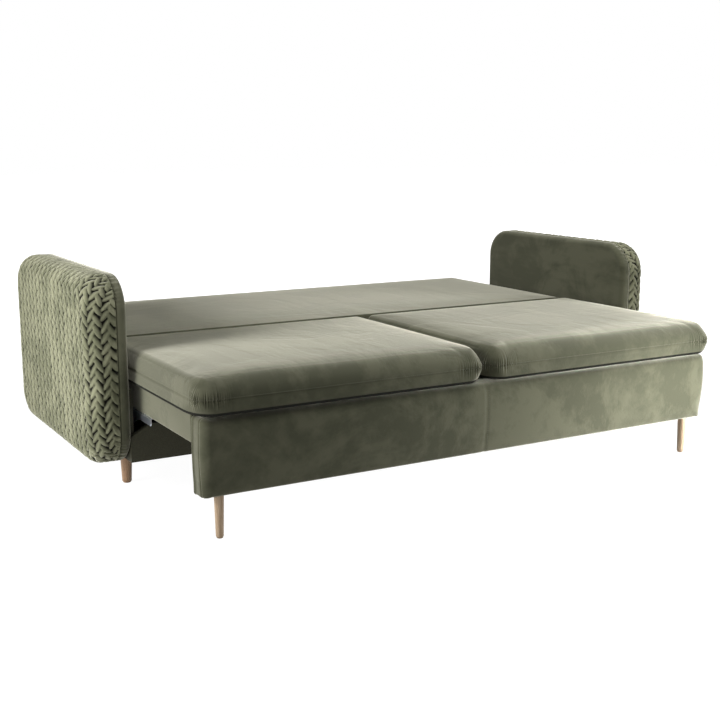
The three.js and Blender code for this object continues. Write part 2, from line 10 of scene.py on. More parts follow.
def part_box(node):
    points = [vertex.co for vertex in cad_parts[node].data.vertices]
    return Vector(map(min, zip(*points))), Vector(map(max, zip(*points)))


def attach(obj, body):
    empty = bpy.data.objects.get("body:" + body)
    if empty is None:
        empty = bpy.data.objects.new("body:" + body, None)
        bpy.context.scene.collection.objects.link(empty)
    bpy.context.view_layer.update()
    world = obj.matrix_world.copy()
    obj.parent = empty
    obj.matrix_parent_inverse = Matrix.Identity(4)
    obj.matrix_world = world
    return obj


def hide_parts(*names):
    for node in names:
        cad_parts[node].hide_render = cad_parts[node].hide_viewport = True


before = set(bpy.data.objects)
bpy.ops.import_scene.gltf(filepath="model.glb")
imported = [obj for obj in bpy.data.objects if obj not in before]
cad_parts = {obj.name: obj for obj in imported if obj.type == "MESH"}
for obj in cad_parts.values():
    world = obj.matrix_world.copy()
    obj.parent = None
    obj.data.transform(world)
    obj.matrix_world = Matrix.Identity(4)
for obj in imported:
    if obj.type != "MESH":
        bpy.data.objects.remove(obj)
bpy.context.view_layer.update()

# ---------------------------------------------------------------------------
# Camera: a long lens held a little over a metre up, off the bed's left front
# corner, looking slightly down across the mattress.
# ---------------------------------------------------------------------------
CAMERA_PLACE = (-2.096, -3.615, 1.123)
CAMERA_TURN = 30.0        # degrees to the right of straight ahead
CAMERA_DIP = 11.14         # degrees below the horizon
lens = bpy.data.cameras.new("camera")
lens.lens = 56.9
lens.sensor_width = 36
camera = bpy.data.objects.new("camera", lens)
camera.location = CAMERA_PLACE
camera.rotation_euler = (math.radians(90 - CAMERA_DIP), 0, math.radians(-CAMERA_TURN))
bpy.context.collection.objects.link(camera)
bpy.context.scene.camera = camera

# ---------------------------------------------------------------------------
# Studio: a pale floor that reads white but keeps a soft shadow, a plain white
# surround, one large overhead softbox and two broad side lights.
# ---------------------------------------------------------------------------
scene = bpy.context.scene
scene.view_settings.view_transform = "Standard"


def node(tree, kind, inputs=None, **options):
    """Adds one node, sets its options, and sets or links each of its inputs."""
    made = tree.nodes.new(kind)
    for key, value in options.items():
        setattr(made, key, value)
    for key, value in (inputs or {}).items():
        if isinstance(value, bpy.types.NodeSocket):
            tree.links.new(value, made.inputs[key])
        else:
            made.inputs[key].default_value = value
    return made


def seen_directly(tree):
    """1 for rays that see a surface or reflect or pass it sharply, else 0."""
    rays = node(tree, "ShaderNodeLightPath")
    first = node(tree, "ShaderNodeMath", {0: rays.outputs["Is Camera Ray"], 1: rays.outputs["Is Glossy Ray"]},
                 operation="MAXIMUM")
    return node(tree, "ShaderNodeMath", {0: first.outputs[0], 1: rays.outputs["Is Transmission Ray"]},
                operation="MAXIMUM").outputs[0]


def light_surround(strength):
    world = bpy.data.worlds.new("studio")
    scene.world = world
    world.use_nodes = True
    tree = world.node_tree
    tree.nodes.clear()
    level = node(tree, "ShaderNodeMapRange", {"Value": seen_directly(tree), "To Min": strength, "To Max": 1.0})
    glow = node(tree, "ShaderNodeBackground", {"Color": (1, 1, 1, 1), "Strength": level.outputs[0]})
    node(tree, "ShaderNodeOutputWorld", {"Surface": glow.outputs[0]})


def studio_floor(size, whitening, brightness):
    corners = [(-size, -size, 0), (size, -size, 0), (size, size, 0), (-size, size, 0)]
    mesh = bpy.data.meshes.new("studio_floor")
    mesh.from_pydata(corners, [], [(0, 1, 2, 3)])
    material = bpy.data.materials.new("studio_floor")
    material.use_nodes = True
    tree = material.node_tree
    tree.nodes.clear()
    paint = node(tree, "ShaderNodeBsdfDiffuse", {"Color": (0.6, 0.6, 0.6, 1)})
    glow = node(tree, "ShaderNodeEmission", {"Color": (1, 1, 1, 1), "Strength": brightness})
    place = node(tree, "ShaderNodeTexCoord").outputs["Object"]
    away = node(tree, "ShaderNodeVectorMath", {0: place}, operation="LENGTH").outputs["Value"]
    level = node(tree, "ShaderNodeMapRange", {
        "Value": away, "From Min": 1.6, "From Max": 3.6, "To Min": whitening, "To Max": 1.0})
    share = node(tree, "ShaderNodeMath", {0: seen_directly(tree), 1: level.outputs[0]}, operation="MULTIPLY")
    both = node(tree, "ShaderNodeMixShader", {0: share.outputs[0], 1: paint.outputs[0], 2: glow.outputs[0]})
    node(tree, "ShaderNodeOutputMaterial", {"Surface": both.outputs[0]})
    mesh.materials.append(material)
    floor = bpy.data.objects.new("studio_floor", mesh)
    bpy.context.collection.objects.link(floor)


def softbox(name, place, target, size, power, spread):
    lamp = bpy.data.lights.new(name, "AREA")
    lamp.shape = "RECTANGLE"
    lamp.size, lamp.size_y = size
    lamp.energy = power
    lamp.spread = math.radians(spread)
    holder = bpy.data.objects.new(name, lamp)
    holder.location = place
    aim = Vector(target) - Vector(place)
    holder.rotation_euler = aim.to_track_quat("-Z", "Y").to_euler()
    bpy.context.collection.objects.link(holder)


light_surround(0.07)
studio_floor(30.0, 0.74, 1.3)
softbox("overhead", (-0.2, -0.3, 3.2), (0.0, 0.0, 0.4), (3.6, 2.6), 76, 180)
softbox("right_high", (1.4, -1.4, 2.6), (0.3, -0.3, 0.3), (1.6, 1.2), 38, 180)
softbox("left_high", (-2.9, -0.2, 1.3), (-1.1, 0.0, 0.4), (1.0, 0.9), 14.5, 80)
softbox("left_low", (-2.6, -0.5, 0.38), (-1.13, 0.0, 0.42), (1.5, 0.4), 9, 110)
softbox("right_front", (2.5, -2.1, 0.6), (0.9, -0.8, 0.25), (0.6, 0.5), 9, 100)
softbox("right_low", (1.5, -1.72, 0.42), (0.72, -0.87, 0.2), (0.5, 0.25), 5.6, 50)

# ---------------------------------------------------------------------------
# Base box: laminated chipboard panels in a matt near-black, screwed together,
# with a softwood stretcher across the rear that carries the rear legs.
# ---------------------------------------------------------------------------


def new_material(name, colour, roughness, metallic=0.0):
    """A material with one shader, whose base colour and roughness can be linked later."""
    material = bpy.data.materials.new(name)
    material.use_nodes = True
    tree = material.node_tree
    shader = tree.nodes["Principled BSDF"]
    shader.inputs["Base Color"].default_value = (*colour, 1)
    shader.inputs["Roughness"].default_value = roughness
    shader.inputs["Metallic"].default_value = metallic
    return material, tree, shader


def build_grain_group():
    """Fine speckle: noise at one scale moves a value up and down about 1, and gives a height."""
    group = bpy.data.node_groups.new("speckle", "ShaderNodeTree")
    group.interface.new_socket("Vector", in_out="INPUT", socket_type="NodeSocketVector")
    group.interface.new_socket("Scale", in_out="INPUT", socket_type="NodeSocketFloat")
    group.interface.new_socket("Amount", in_out="INPUT", socket_type="NodeSocketFloat")
    group.interface.new_socket("Shade", in_out="OUTPUT", socket_type="NodeSocketFloat")
    group.interface.new_socket("Height", in_out="OUTPUT", socket_type="NodeSocketFloat")
    given = group.nodes.new("NodeGroupInput")
    noise = node(group, "ShaderNodeTexNoise", {
        "Vector": given.outputs["Vector"], "Scale": given.outputs["Scale"], "Detail": 4.0, "Roughness": 0.6})
    low = node(group, "ShaderNodeMath", {0: 1.0, 1: given.outputs["Amount"]}, operation="SUBTRACT")
    high = node(group, "ShaderNodeMath", {0: 1.0, 1: given.outputs["Amount"]}, operation="ADD")
    shade = node(group, "ShaderNodeMapRange", {
        "Value": noise.outputs["Fac"], "From Min": 0.3, "From Max": 0.7,
        "To Min": low.outputs[0], "To Max": high.outputs[0]})
    result = group.nodes.new("NodeGroupOutput")
    group.links.new(shade.outputs[0], result.inputs["Shade"])
    group.links.new(noise.outputs["Fac"], result.inputs["Height"])
    return group


speckle = build_grain_group()


def object_coordinates(tree):
    return node(tree, "ShaderNodeTexCoord").outputs["Object"]


def speckled(tree, vector, colour, scale, amount):
    """The colour, lighter and darker by a share of itself, and the speckle's height."""
    grain = node(tree, "ShaderNodeGroup", node_tree=speckle)
    tree.links.new(vector, grain.inputs["Vector"])
    grain.inputs["Scale"].default_value = scale
    grain.inputs["Amount"].default_value = amount
    tint = node(tree, "ShaderNodeVectorMath", {0: colour[:3], 3: grain.outputs["Shade"]}, operation="SCALE")
    return tint.outputs[0], grain.outputs["Height"]


def laminate():
    material, tree, shader = new_material("dark_laminate", (0.034, 0.033, 0.019), 0.62)
    shader.inputs["Specular IOR Level"].default_value = 0.25
    colour, height = speckled(tree, object_coordinates(tree), (0.034, 0.033, 0.019), 420, 0.35)
    tree.links.new(colour, shader.inputs["Base Color"])
    bump = node(tree, "ShaderNodeBump", {"Height": height, "Strength": 0.25, "Distance": 0.0006})
    tree.links.new(bump.outputs[0], shader.inputs["Normal"])
    return material


def softwood(name, light, dark, rings, along):
    """Planed wood: stretched rings along one axis, wavering with noise, over a fine speckle."""
    material, tree, shader = new_material(name, light, 0.55)
    place = object_coordinates(tree)
    stretch = {"x": (0.06, 1, 1), "y": (1, 0.06, 1), "z": (1, 1, 0.06)}[along]
    drawn = node(tree, "ShaderNodeMapping", {"Vector": place, "Scale": stretch})
    waver = node(tree, "ShaderNodeTexNoise", {
        "Vector": drawn.outputs[0], "Scale": rings, "Detail": 5.0, "Roughness": 0.55, "Distortion": 1.2})
    bands = node(tree, "ShaderNodeMath", {0: waver.outputs["Fac"], 1: 5.0}, operation="MULTIPLY")
    share = node(tree, "ShaderNodeMath", {0: bands.outputs[0], 1: 1.0}, operation="PINGPONG")
    mixed = node(tree, "ShaderNodeMix", {"Factor": share.outputs[0], 6: (*light, 1), 7: (*dark, 1)},
                 data_type="RGBA")
    tree.links.new(mixed.outputs[2], shader.inputs["Base Color"])
    rough = node(tree, "ShaderNodeMapRange", {"Value": share.outputs[0], "To Min": 0.42, "To Max": 0.62})
    tree.links.new(rough.outputs[0], shader.inputs["Roughness"])
    bump = node(tree, "ShaderNodeBump", {"Height": share.outputs[0], "Strength": 0.2, "Distance": 0.0004})
    tree.links.new(bump.outputs[0], shader.inputs["Normal"])
    return material


def finish_nodes(material, *names):
    """Gives a finish to CAD pieces that keep their own shape."""
    for name in names:
        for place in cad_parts[name].material_slots:
            place.material = material


SIDES = ((-1, "left"), (1, "right"))
timber = softwood("timber_along", (0.62, 0.45, 0.26), (0.5, 0.33, 0.17), 60, "x")
timber_deep = softwood("timber_deep", (0.62, 0.45, 0.26), (0.5, 0.33, 0.17), 60, "y")
finish_nodes(laminate(), "box_front_board", "box_rear_board", "box_bottom_panel",
             "box_side_board_left", "box_side_board_right")
finish_nodes(timber, "rear_stretcher")

# ---------------------------------------------------------------------------
# Legs: turned and tapered beech, screwed up into the base and into the
# pull-out seat; a thin glide is pressed on each foot.
# ---------------------------------------------------------------------------


def add_piece(name, points, faces, material, body, outwards=True):
    """Makes a mesh of points and faces, turns its faces outwards and lets it ride on a body."""
    mesh = bpy.data.meshes.new(name)
    mesh.from_pydata(np.asarray(points, float).reshape(-1, 3).tolist(), [], faces)
    if outwards:
        work = bmesh.new()
        work.from_mesh(mesh)
        bmesh.ops.recalc_face_normals(work, faces=work.faces)
        work.to_mesh(mesh)
        work.free()
    mesh.polygons.foreach_set("use_smooth", np.ones(len(mesh.polygons), bool))
    mesh.materials.append(material)
    piece = bpy.data.objects.new(name, mesh)
    bpy.context.collection.objects.link(piece)
    if body:
        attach(piece, body)
    return piece


def turned(radii, heights, centre, sides):
    """Surface of revolution: each radius at its height, once round a vertical axis, closed by end fans."""
    angle = np.linspace(0, 2 * np.pi, sides, endpoint=False)
    ring = np.stack([np.cos(angle), np.sin(angle)], 1)
    radii, heights = np.asarray(radii, float), np.asarray(heights, float)
    rows = radii[:, None, None] * ring[None]
    level = np.broadcast_to(heights[:, None, None], (len(radii), sides, 1))
    points = np.concatenate([rows, level], 2).reshape(-1, 3) + np.asarray(centre, float)
    step = np.arange(sides)
    after = (step + 1) % sides
    faces = []
    for k in range(len(radii) - 1):
        low, high = k * sides, (k + 1) * sides
        faces += np.stack([low + step, low + after, high + after, high + step], 1).tolist()
    faces.append(step[::-1].tolist())
    faces.append((step + (len(radii) - 1) * sides).tolist())
    return points, faces


def leg_profile(foot, top, height, glide, shoulder):
    """Radius against height: a glide, a straight taper, and a small rounded shoulder at the top."""
    turn = np.linspace(0, np.pi / 2, 6)
    taper = np.linspace(0, 1, 8)
    radii = [foot * 0.72, foot * 0.82, foot * 0.82, foot - 0.0008, foot]
    heights = [0, 0.0008, glide, glide + 0.0003, glide + 0.0015]
    radii += list(foot + (top - foot) * taper[1:-1])
    heights += list(glide + (height - shoulder - glide) * taper[1:-1])
    radii += list(top - shoulder + shoulder * np.cos(turn))
    heights += list(height - shoulder + shoulder * np.sin(turn))
    return radii, heights


SEAT_FOOT, SEAT_TOP_RADIUS = 0.0115, 0.0145
BASE_FOOT, BASE_TOP_RADIUS = 0.0155, 0.0205
pale_wood = softwood("pale_beech", (0.42, 0.31, 0.205), (0.33, 0.23, 0.14), 90, "z")
# The base legs' wood is darker and browner than the seat legs'.
brown_wood = softwood("dark_brown_beech", (0.3, 0.185, 0.1), (0.2, 0.115, 0.06), 90, "z")


def add_leg(node_name, foot, top, material, body):
    low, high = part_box(node_name)
    height = {"seat": 0.1287, "base": 0.1197}[body]
    radii, heights = leg_profile(foot, top, height, 0.004, 0.002)
    centre = ((low[0] + high[0]) / 2, (low[1] + high[1]) / 2, 0)
    points, faces = turned(radii, heights, centre, 40)
    leg = add_piece(f"{node_name}_turned", points, faces, material, body)
    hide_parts(node_name)


for side, word in SIDES:
    add_leg(f"seat_leg_{word}", SEAT_FOOT, SEAT_TOP_RADIUS, pale_wood, "seat")
    for place in ("front", "rear"):
        add_leg(f"base_leg_{place}_{word}", BASE_FOOT, BASE_TOP_RADIUS, brown_wood, "base")

# ---------------------------------------------------------------------------
# Armrests: a timber core under a plain velvet pad on the seat side and a pad
# of hand-smocked velvet outside, drawn into upright braids of overlapping
# leaves that run over every edge to the seam with the plain pad.
# ---------------------------------------------------------------------------
ARM_CORNER = 0.110
QUILT_ROUND = 0.060
BAND_ROUND = 0.018
QUILT_COLUMNS = 44            # two columns of leaves make one braid
LEAF_PITCH = 0.0345
LEAF_LENGTH, LEAF_WIDTH = 0.062, 0.0200
LEAF_SLOPE = math.radians(60)
LEAF_RELIEF = 0.0078


def build_nap_group():
    """Velvet nap brushed by hand: wide patches with ragged edges, short streaks in them, and fine fibres."""
    group = bpy.data.node_groups.new("velvet_nap", "ShaderNodeTree")
    group.interface.new_socket("Vector", in_out="INPUT", socket_type="NodeSocketVector")
    group.interface.new_socket("Patches", in_out="INPUT", socket_type="NodeSocketFloat")
    group.interface.new_socket("Streaks", in_out="INPUT", socket_type="NodeSocketFloat")
    group.interface.new_socket("Mask", in_out="OUTPUT", socket_type="NodeSocketFloat")
    group.interface.new_socket("Height", in_out="OUTPUT", socket_type="NodeSocketFloat")
    given = group.nodes.new("NodeGroupInput")
    patches = node(group, "ShaderNodeTexNoise", {
        "Vector": given.outputs["Vector"], "Scale": given.outputs["Patches"], "Detail": 5.0,
        "Roughness": 0.58, "Distortion": 0.9})
    drawn = node(group, "ShaderNodeMapping", {
        "Vector": given.outputs["Vector"], "Rotation": (0.5, 0.35, 0.6), "Scale": (1.0, 0.22, 1.0)})
    streaks = node(group, "ShaderNodeTexNoise", {
        "Vector": drawn.outputs[0], "Scale": given.outputs["Streaks"], "Detail": 4.0, "Roughness": 0.6})
    shape = node(group, "ShaderNodeMapRange", {
        "Value": patches.outputs["Fac"], "From Min": 0.40, "From Max": 0.60}, interpolation_type="SMOOTHSTEP")
    thin = node(group, "ShaderNodeMapRange", {
        "Value": streaks.outputs["Fac"], "From Min": 0.3, "From Max": 0.7, "To Min": -0.45, "To Max": 0.45})
    mask = node(group, "ShaderNodeMath", {0: shape.outputs[0], 1: thin.outputs[0]}, operation="ADD",
                use_clamp=True)
    fibres = node(group, "ShaderNodeTexNoise", {
        "Vector": given.outputs["Vector"], "Scale": 900.0, "Detail": 2.0, "Roughness": 0.6})
    fine = node(group, "ShaderNodeMath", {0: fibres.outputs["Fac"], 1: 0.12}, operation="MULTIPLY")
    height = node(group, "ShaderNodeMath", {0: mask.outputs[0], 1: fine.outputs[0]}, operation="ADD")
    result = group.nodes.new("NodeGroupOutput")
    group.links.new(mask.outputs[0], result.inputs["Mask"])
    group.links.new(height.outputs[0], result.inputs["Height"])
    return group


velvet_nap = build_nap_group()
VELVET_DARK = (0.055, 0.057, 0.035)
VELVET_LIGHT = (0.086, 0.087, 0.056)


def velvet(name, patches=3.2, streaks=26.0, relief=0.0012, painted_fold_shade=None, sheen=1.0):
    """Sage velvet: base colour between two tones by the nap, sheen at glancing angles, and nap relief.
    Given an attribute name, that attribute of the piece scales the base colour as painted shade in the
    depths of its folds and painted highlight on their tops."""
    material, tree, shader = new_material(name, VELVET_LIGHT, 0.85)
    nap = node(tree, "ShaderNodeGroup", node_tree=velvet_nap)
    tree.links.new(object_coordinates(tree), nap.inputs["Vector"])
    nap.inputs["Patches"].default_value = patches
    nap.inputs["Streaks"].default_value = streaks
    tone = node(tree, "ShaderNodeMix", {
        "Factor": nap.outputs["Mask"], 6: (*VELVET_DARK, 1), 7: (*VELVET_LIGHT, 1)}, data_type="RGBA")
    colour = tone.outputs[2]
    if painted_fold_shade:
        # Painted shade and highlight: the attribute scales the base colour from 0.05 in the folds to 2.2 on the tops.
        depth = node(tree, "ShaderNodeAttribute", attribute_name=painted_fold_shade)
        shade = node(tree, "ShaderNodeMapRange", {
            "Value": depth.outputs["Fac"], "From Min": 0.2, "From Max": 0.8, "To Min": 0.05, "To Max": 2.2})
        colour = node(tree, "ShaderNodeVectorMath", {0: colour, 3: shade.outputs[0]}, operation="SCALE").outputs[0]
    tree.links.new(colour, shader.inputs["Base Color"])
    bump = node(tree, "ShaderNodeBump", {"Height": nap.outputs["Height"], "Strength": 0.35, "Distance": relief})
    tree.links.new(bump.outputs[0], shader.inputs["Normal"])
    shader.inputs["Specular IOR Level"].default_value = 0.05
    shader.inputs["Sheen Weight"].default_value = sheen
    shader.inputs["Sheen Roughness"].default_value = 0.4
    shader.inputs["Sheen Tint"].default_value = (0.91, 0.885, 0.745, 1)
    return material


def rounded_grid(half, radius, step):
    """A rectangular grid of points bent into a rounded rectangle: in each corner square, a point at (s, t)
    of the square moves to (s * sqrt(1 - t^2 / 2), t * sqrt(1 - s^2 / 2)), the square-to-disc map."""
    lines = [np.linspace(-h, h, int(round(2 * h / step)) + 1) for h in half]
    x, y = np.meshgrid(*lines, indexing="ij")
    s = np.clip((np.abs(x) - (half[0] - radius)) / radius, 0, 1)
    t = np.clip((np.abs(y) - (half[1] - radius)) / radius, 0, 1)
    corner = (s > 0) & (t > 0)
    x = np.where(corner, np.sign(x) * (half[0] - radius + radius * s * np.sqrt(1 - t * t / 2)), x)
    y = np.where(corner, np.sign(y) * (half[1] - radius + radius * t * np.sqrt(1 - s * s / 2)), y)
    return x, y


def grid_faces(rows, columns):
    """Quads of a grid of points, and its border in order."""
    index = np.arange(rows * columns).reshape(rows, columns)
    quads = np.stack([index[:-1, :-1], index[1:, :-1], index[1:, 1:], index[:-1, 1:]], -1).reshape(-1, 4)
    border = np.concatenate([index[:-1, 0], index[-1, :-1], index[:0:-1, -1], index[0, :0:-1]])
    return quads.tolist(), border


def wrapped_pad(size, rounding, straight, step, relief):
    """A flat face that wraps over its edge. On the laid-out sheet, a point d past the flat face's outline
    turns by d / rounding about the edge, then runs straight back to the seam. The relief lifts it along
    its normal. Returns depth from the face, the two in-plane places, and the relief's painted shade."""
    half = np.array(size) / 2
    inner_radius = ARM_CORNER - rounding
    core = half - ARM_CORNER
    wrap = rounding * np.pi / 2 + straight
    sheet = half - rounding + wrap
    a, b = rounded_grid(sheet, inner_radius + wrap, step)
    ca, cb = np.clip(a, -core[0], core[0]), np.clip(b, -core[1], core[1])
    va, vb = a - ca, b - cb
    reach = np.hypot(va, vb)
    na, nb = va / np.maximum(reach, 1e-9), vb / np.maximum(reach, 1e-9)
    beyond = reach - inner_radius
    turn = np.clip(beyond / rounding, 0, np.pi / 2)
    run = np.clip(beyond - rounding * np.pi / 2, 0, None)
    out = np.where(beyond > 0, inner_radius + rounding * np.sin(turn), reach)
    depth = rounding * (1 - np.cos(turn)) + run
    angle = np.arctan2(nb * (cb != b), na * (ca != a))
    lift, shade = relief(a + sheet[0], b, 2 * sheet[0], wrap - beyond, angle)
    along = lift * np.sin(turn)
    return depth - lift * np.cos(turn), ca + na * (out + along), cb + nb * (out + along), shade


def braid(a, b, width, to_seam, angle):
    """Braids of leaves. Each leaf is a long low dome, leaning by the leaf slope towards the middle of its
    braid, raised along its lower edge so that it laps over the leaf below; neighbouring columns stand half
    a pitch apart. The highest leaf at each point wins, and deep pockets stay where no leaf reaches."""
    column_width = width / QUILT_COLUMNS
    a = a + 0.0012 * np.sin(b * 31 + 1.3) + 0.0008 * np.sin(b * 83 + a * 17)
    b = b + 0.0030 * np.sin(a * 23 + 0.7) + 0.0016 * np.sin(a * 71 + b * 9)
    height = np.zeros_like(a)
    for beside in (-1, 0, 1):
        column = np.floor(a / column_width) + beside
        odd = np.mod(column, 2)
        lean = 1 - 2 * odd
        for above in (-1, 0, 1):
            row = np.round(b / LEAF_PITCH - 0.5 * odd) + above
            chance = np.mod(np.sin(column * 12.9898 + row * 78.233) * 43758.5453, 1.0)
            other = np.mod(np.sin(column * 39.425 + row * 11.135) * 24634.6345, 1.0)
            slope = LEAF_SLOPE + 0.16 * (chance - 0.5)
            da = (a - (column + 0.5) * column_width) * lean - 0.0018
            db = b - (row + 0.5 * odd) * LEAF_PITCH - 0.004 * (other - 0.5)
            p = (da * np.cos(slope) + db * np.sin(slope)) / (LEAF_LENGTH / 2)
            q = (db * np.cos(slope) - da * np.sin(slope)) / (LEAF_WIDTH / 2 * (0.94 + 0.14 * other))
            narrow = np.clip(1 - np.abs(p) ** 2.4, 1e-6, 1)
            dome = np.clip(1 - (q / narrow) ** 2, 0, 1) ** 0.36 * np.clip(1 - p ** 4, 0, 1) ** 0.5
            folds = 0.06 * np.sin(q * 8 + 6 * chance + 2 * p) * np.abs(p) ** 1.5
            height = np.maximum(height, dome * (0.74 - 0.34 * q + 0.14 * chance) + folds * (dome > 0))
    # The second value is painted shade: low in pockets and creases, high on leaf tops, raised near the seam.
    fade = np.clip(to_seam / 0.012, 0, 1)
    return LEAF_RELIEF * (height - 0.86) * fade, np.clip(height + 0.2 * (1 - fade), 0, 1)


def plain_band(a, b, width, to_seam, angle):
    """Soft foam: a slight swell towards the middle, and short gathers fanning from the seam at each corner."""
    swell = 0.0018 * np.clip(to_seam / 0.10, 0, 1)
    corner = np.clip(np.sin(2 * angle) ** 2 * 1.6, 0, 1) * (np.abs(np.sin(2 * angle)) > 1e-6)
    comb = np.abs(np.sin(angle * 21 + 1.2 * np.sin(angle * 7))) ** 0.8
    gather = corner * comb * np.exp(-(to_seam / 0.024) ** 2)
    dip = 0.0022 * np.exp(-(to_seam / 0.0035) ** 2)
    # The second value is painted shade, darker in the gathers; the band's material does not read it.
    return swell - 0.0042 * gather - dip, np.clip(0.6 - 0.4 * gather, 0, 1)


def add_pad(name, node_name, side, face, sign, sheet, material):
    """Places a wrapped pad on one armrest. Its face is at |x| = face and its depth runs along sign."""
    depth, a, b, shade = sheet
    low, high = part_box(node_name)
    centre = (np.array(low) + np.array(high)) / 2
    x = side * (face + sign * depth)
    points = np.stack([x, centre[1] + a, centre[2] + b], -1)
    quads, border = grid_faces(*a.shape)
    back = points.reshape(-1, 3)[border].mean(0)
    points = np.concatenate([points.reshape(-1, 3), back[None]])
    hub = len(points) - 1
    fan = [[int(p), int(q), hub] for p, q in zip(border, np.roll(border, -1))]
    pad = add_piece(name, points, quads + fan, material, "base")
    # Each point keeps the relief's painted shade for its material; the hub at the back gets 0.5.
    painted_fold_shade = pad.data.attributes.new("painted_fold_shade", "FLOAT", "POINT")
    painted_fold_shade.data.foreach_set("value", np.append(shade.ravel(), 0.5).astype(np.float32))
    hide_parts(node_name)
    return pad


def add_armrest(side, word):
    outer, inner = f"arm_outer_pad_{word}", f"arm_inner_pad_{word}"
    low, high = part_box(outer)
    size = (high[1] - low[1], high[2] - low[2])
    edges = sorted(abs(v) for v in (low[0], high[0]))
    thickness = edges[1] - edges[0]
    quilt_step = 0.0024
    sheet = wrapped_pad(size, QUILT_ROUND, thickness - QUILT_ROUND, quilt_step, braid)
    add_pad(f"arm_quilt_{word}", outer, side, edges[1], -1, sheet, quilt_velvet)
    low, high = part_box(inner)
    edges = sorted(abs(v) for v in (low[0], high[0]))
    thickness = edges[1] - edges[0]
    sheet = wrapped_pad(size, BAND_ROUND, thickness - BAND_ROUND, 0.0042, plain_band)
    add_pad(f"arm_band_{word}", inner, side, edges[0], 1, sheet, band_velvet)


# The quilt's base colour carries painted shade in its folds and painted highlight on its leaf tops.
quilt_velvet = velvet("quilt_velvet", patches=5.0, streaks=40.0, relief=0.0008, painted_fold_shade="painted_fold_shade", sheen=0.6)
band_velvet = velvet("band_velvet", patches=4.0, streaks=24.0)
for side, word in SIDES:
    add_armrest(side, word)
finish_nodes(timber_deep, "arm_core_left", "arm_core_right")

# ---------------------------------------------------------------------------
# Steelwork: pressed and zinc-plated brackets, links, guide rails and pins,
# and the nylon rollers that carry the seat.
# ---------------------------------------------------------------------------


def zinc_plate():
    """Bright zinc: bluish white metal whose spangles differ a little in tone and polish."""
    material, tree, shader = new_material("zinc_plate", (0.6, 0.64, 0.7), 0.34, 1.0)
    place = object_coordinates(tree)
    spangle = node(tree, "ShaderNodeTexVoronoi", {"Vector": place, "Scale": 140.0, "Randomness": 1.0})
    cloud = node(tree, "ShaderNodeTexNoise", {"Vector": place, "Scale": 35.0, "Detail": 3.0})
    both = node(tree, "ShaderNodeMath", {0: spangle.outputs["Color"], 1: cloud.outputs["Fac"]}, operation="MULTIPLY")
    tone = node(tree, "ShaderNodeMix", {
        "Factor": both.outputs[0], 6: (0.5, 0.54, 0.6, 1), 7: (0.78, 0.82, 0.88, 1)}, data_type="RGBA")
    polish = node(tree, "ShaderNodeMapRange", {"Value": cloud.outputs["Fac"], "To Min": 0.24, "To Max": 0.46})
    tree.links.new(tone.outputs[2], shader.inputs["Base Color"])
    tree.links.new(polish.outputs[0], shader.inputs["Roughness"])
    return material


def black_nylon():
    material, tree, shader = new_material("black_nylon", (0.025, 0.025, 0.027), 0.5)
    colour, height = speckled(tree, object_coordinates(tree), (0.028, 0.028, 0.03), 900, 0.2)
    tree.links.new(colour, shader.inputs["Base Color"])
    bump = node(tree, "ShaderNodeBump", {"Height": height, "Strength": 0.15, "Distance": 0.0003})
    tree.links.new(bump.outputs[0], shader.inputs["Normal"])
    return material


zinc, nylon = zinc_plate(), black_nylon()
for side, word in SIDES:
    finish_nodes(zinc, f"guide_rail_{word}", f"seat_bracket_{word}", f"back_link_{word}", f"back_bracket_{word}",
                 f"link_pin_{word}", f"fold_pin_{word}", f"rest_peg_{word}",
                 f"arm_bolt_front_{word}", f"arm_bolt_rear_{word}",
                 f"roller_axle_front_{word}", f"roller_axle_rear_{word}")
    finish_nodes(nylon, f"roller_front_{word}", f"roller_rear_{word}")

# ---------------------------------------------------------------------------
# Seat frame: softwood rails under a deck covered in black non-woven cloth.
# The two side rails are wrapped in velvet with a thin layer of foam.
# ---------------------------------------------------------------------------


def felt():
    """Black non-woven lining: matted fibres at two scales."""
    material, tree, shader = new_material("black_felt", (0.015, 0.015, 0.012), 1.0)
    shader.inputs["Specular IOR Level"].default_value = 0.1
    place = object_coordinates(tree)
    colour, height = speckled(tree, place, (0.015, 0.015, 0.012), 420, 0.6)
    tree.links.new(colour, shader.inputs["Base Color"])
    bump = node(tree, "ShaderNodeBump", {"Height": height, "Strength": 0.5, "Distance": 0.0006})
    tree.links.new(bump.outputs[0], shader.inputs["Normal"])
    return material


lining = felt()
finish_nodes(lining, "seat_deck", "seat_front_rail", "seat_rear_rail", "seat_centre_rail")


CORNER_SHARE = 0.5            # of the way out, where a pad's corner squares begin


def pad_lines(length, corner_steps, edge, fine, coarse):
    """Parameters across a pad from -1 to 1: even steps in each corner square, then fine steps near the
    corners and coarse ones between."""
    front, rear = corner_steps
    near = int(round(edge / fine))
    middle = max(2, int(round((length - 2 * edge) / coarse)))
    share = CORNER_SHARE * 2 * edge / length
    return np.concatenate([
        np.linspace(-1, -CORNER_SHARE, front + 1)[:-1],
        np.linspace(-CORNER_SHARE, share - CORNER_SHARE, near + 1)[:-1],
        np.linspace(share - CORNER_SHARE, CORNER_SHARE - share, middle + 1)[:-1],
        np.linspace(CORNER_SHARE - share, CORNER_SHARE, near + 1)[:-1],
        np.linspace(CORNER_SHARE, 1, rear + 1)])


